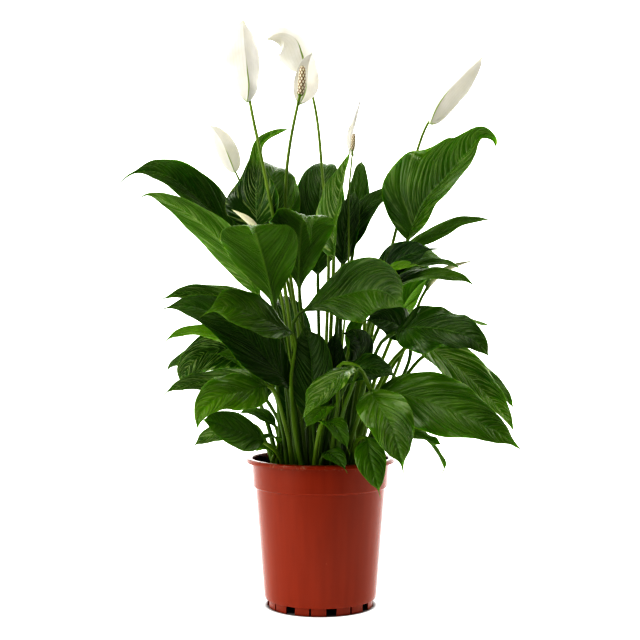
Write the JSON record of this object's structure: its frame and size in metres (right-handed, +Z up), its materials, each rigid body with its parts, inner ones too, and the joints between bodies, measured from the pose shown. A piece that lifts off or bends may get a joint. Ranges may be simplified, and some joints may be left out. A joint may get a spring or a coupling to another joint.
{
  "type": "potted peace lily plant",
  "caption": "Peace lily in a moulded plastic nursery pot: arching pointed leaves on long stalks and upright flowers with white spathes, rooted in dark soil.",
  "frame": {"origin": "on the floor under the pot's axis, at the plane of the foot ring's teeth", "axes": "+Z up along the pot's axis, -Y towards the front of the plant, +X to its right"},
  "size_m": [0.4735, 0.4035, 0.6737],
  "materials": {
    "terracotta_plastic": "satin moulded",
    "peat_soil": "matte, crumbly",
    "leaf_green": "glossy, ribbed",
    "stem_green": "smooth",
    "spathe_white": "soft, veined"
  },
  "bodies": {
    "root": {"pot": "terracotta_plastic", "soil": "peat_soil", "bud_1": "stem_green", "bud_2": "stem_green", "flower_stalk_1": "stem_green", "flower_stalk_2": "stem_green", "flower_stalk_3": "stem_green", "flower_stalk_4": "stem_green", "flower_stalk_5": "stem_green", "flower_stalk_6": "stem_green", "leaf_back_1": "leaf_green", "leaf_back_2": "leaf_green", "leaf_back_3": "leaf_green", "leaf_back_4": "leaf_green", "leaf_back_5": "leaf_green", "leaf_front_1": "leaf_green", "leaf_front_2": "leaf_green", "leaf_front_3": "leaf_green", "leaf_front_4": "leaf_green", "leaf_left_1": "leaf_green", "leaf_left_2": "leaf_green", "leaf_left_3": "leaf_green", "leaf_left_4": "leaf_green", "leaf_left_5": "leaf_green", "leaf_left_6": "leaf_green", "leaf_left_7": "leaf_green", "leaf_left_8": "leaf_green", "leaf_low_right_1": "leaf_green", "leaf_low_right_2": "leaf_green", "leaf_low_right_3": "leaf_green", "leaf_low_right_4": "leaf_green", "leaf_mid_1": "leaf_green", "leaf_mid_2": "leaf_green", "leaf_right_1": "leaf_green", "leaf_right_2": "leaf_green", "leaf_right_3": "leaf_green", "leaf_right_4": "leaf_green", "leaf_right_5": "leaf_green", "leaf_top_1": "leaf_green", "leaf_top_10": "leaf_green", "leaf_top_11": "leaf_green", "leaf_top_2": "leaf_green", "leaf_top_3": "leaf_green", "leaf_top_4": "leaf_green", "leaf_top_5": "leaf_green", "leaf_top_6": "leaf_green", "leaf_top_7": "leaf_green", "leaf_top_8": "leaf_green", "leaf_top_9": "leaf_green", "spathe_1": "spathe_white", "spathe_2": "spathe_white", "spathe_3": "spathe_white", "spathe_4": "spathe_white", "spathe_5": "spathe_white", "spathe_6": "spathe_white", "young_shoot_back": "leaf_green", "young_shoot_front": "leaf_green", "young_shoot_inner": "leaf_green", "young_shoot_left": "leaf_green", "young_shoot_right": "leaf_green"}
  },
  "joints": []
}
